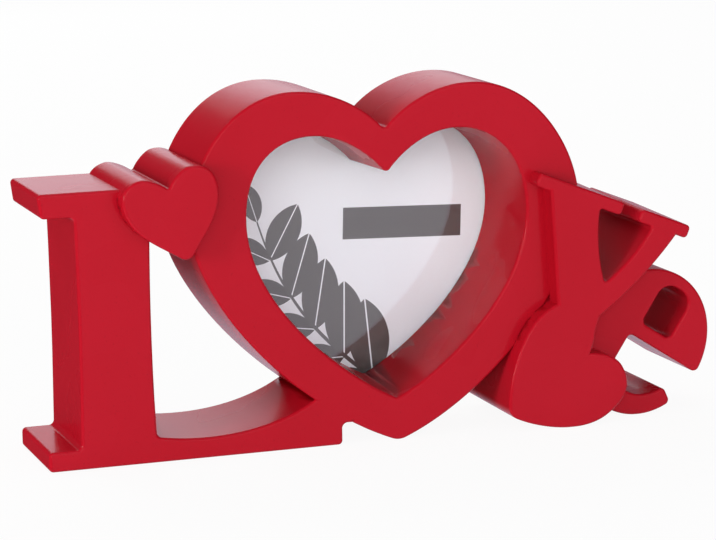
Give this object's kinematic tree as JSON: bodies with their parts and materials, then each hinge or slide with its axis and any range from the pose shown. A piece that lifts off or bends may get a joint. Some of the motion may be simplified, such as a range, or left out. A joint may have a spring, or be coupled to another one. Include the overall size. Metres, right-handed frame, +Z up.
{
  "type": "heart shaped photo frame",
  "caption": "Free-standing photo frame of thick block letters with a heart-shaped ring as the second letter, whose recess holds a glazed picture behind turn buttons.",
  "frame": {"origin": "on the surface it stands on, under the middle of its bounding box", "axes": "+X to the viewer's right along the word, +Y from the front to the back, +Z up"},
  "size_m": [0.226, 0.0474, 0.114],
  "materials": {
    "red_blocks": "cast resin under satin red paint",
    "pane": "clear float glass",
    "card": "coated card with a printed grey leaf pattern",
    "board": "black faced hardboard",
    "screws": "zinc plated",
    "turn_buttons": "zinc plated strip"
  },
  "bodies": {
    "frame": {"letter_l": "red_blocks", "heart_ring": "red_blocks", "small_heart": "red_blocks", "letter_v": "red_blocks", "letter_e": "red_blocks", "glass_pane": "pane", "picture_card": "card", "backing_board": "board", "button_screws": "screws"},
    "button_right_upper": {"turn_button_right_upper": "turn_buttons"},
    "button_right_lower": {"turn_button_right_lower": "turn_buttons"},
    "button_left_lower": {"turn_button_left_lower": "turn_buttons"},
    "button_left_upper": {"turn_button_left_upper": "turn_buttons"}
  },
  "joints": [
    {"name": "turn_right_upper", "type": "hinge", "parent": "frame", "child": "button_right_upper", "pos_m": [0.04036, 0.02075, 0.10433], "axis": [0, 1, 0], "continuous": true},
    {"name": "turn_right_lower", "type": "hinge", "parent": "frame", "child": "button_right_lower", "pos_m": [0.04342, 0.02075, 0.03639], "axis": [0, 1, 0], "continuous": true},
    {"name": "turn_left_lower", "type": "hinge", "parent": "frame", "child": "button_left_lower", "pos_m": [-0.0404, 0.02075, 0.03607], "axis": [0, 1, 0], "continuous": true},
    {"name": "turn_left_upper", "type": "hinge", "parent": "frame", "child": "button_left_upper", "pos_m": [-0.04156, 0.02075, 0.10423], "axis": [0, 1, 0], "continuous": true}
  ]
}
